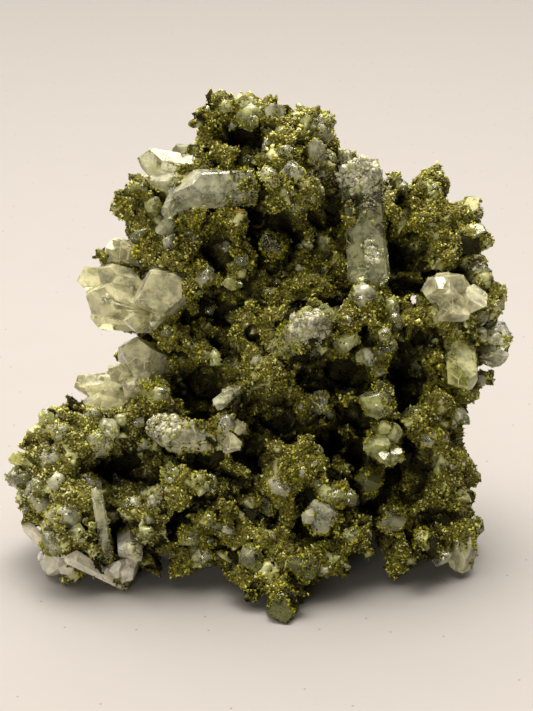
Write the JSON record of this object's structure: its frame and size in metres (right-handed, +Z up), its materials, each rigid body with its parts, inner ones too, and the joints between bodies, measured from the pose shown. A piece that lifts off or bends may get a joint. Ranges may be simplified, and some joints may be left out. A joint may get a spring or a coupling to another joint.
{
  "type": "epidote crystal cluster",
  "caption": "Hand-size mineral cluster: a knobbly green epidote-crusted mass with clear and pale quartz crystals standing out of it, resting on its own broad foot.",
  "frame": {"origin": "centre of the footprint's bounding box, on the surface that the cluster rests on", "axes": "+Z up, the crystal-covered front faces -Y, +X to the right of someone who looks at the front"},
  "size_m": [0.1008, 0.072, 0.091],
  "materials": {
    "epidote": "drusy, finely crystalline",
    "quartz_clear": "glassy with milky veils",
    "quartz_green": "glassy, tinted by epidote inclusions",
    "quartz_yellow": "glassy, yellow-green",
    "quartz_pink": "glassy with a pale pink stain",
    "quartz_smoky": "glassy, dark olive"
  },
  "bodies": {
    "root": {"epidote_mass": "epidote", "quartz_upper_left_group": "quartz_clear", "quartz_left_group": "quartz_green", "quartz_lower_left_group": "quartz_clear", "quartz_far_left_bud": "quartz_yellow", "quartz_lobe_rod": "quartz_smoky", "quartz_pink_group": "quartz_pink", "quartz_lobe_foot_group": "quartz_pink", "quartz_bar_group": "quartz_green", "quartz_slanted_shard": "quartz_clear", "quartz_window": "quartz_clear", "quartz_centre_bar": "quartz_green", "quartz_column_group": "quartz_clear", "quartz_right_top_group": "quartz_yellow", "quartz_right_clear": "quartz_clear", "quartz_yellow_gem": "quartz_yellow", "quartz_right_grey": "quartz_clear", "quartz_pale_rosette": "quartz_green", "quartz_green_glass": "quartz_smoky", "quartz_front_gem": "quartz_green", "quartz_smoky_bud": "quartz_smoky", "quartz_veiled_bud": "quartz_green", "quartz_round_window": "quartz_clear", "quartz_low_group": "quartz_green", "quartz_leaf_window": "quartz_smoky", "quartz_olive_bud": "quartz_yellow", "quartz_right_foot_tip": "quartz_yellow", "quartz_crown_window": "quartz_clear", "quartz_crown_facet": "quartz_clear"}
  },
  "joints": []
}
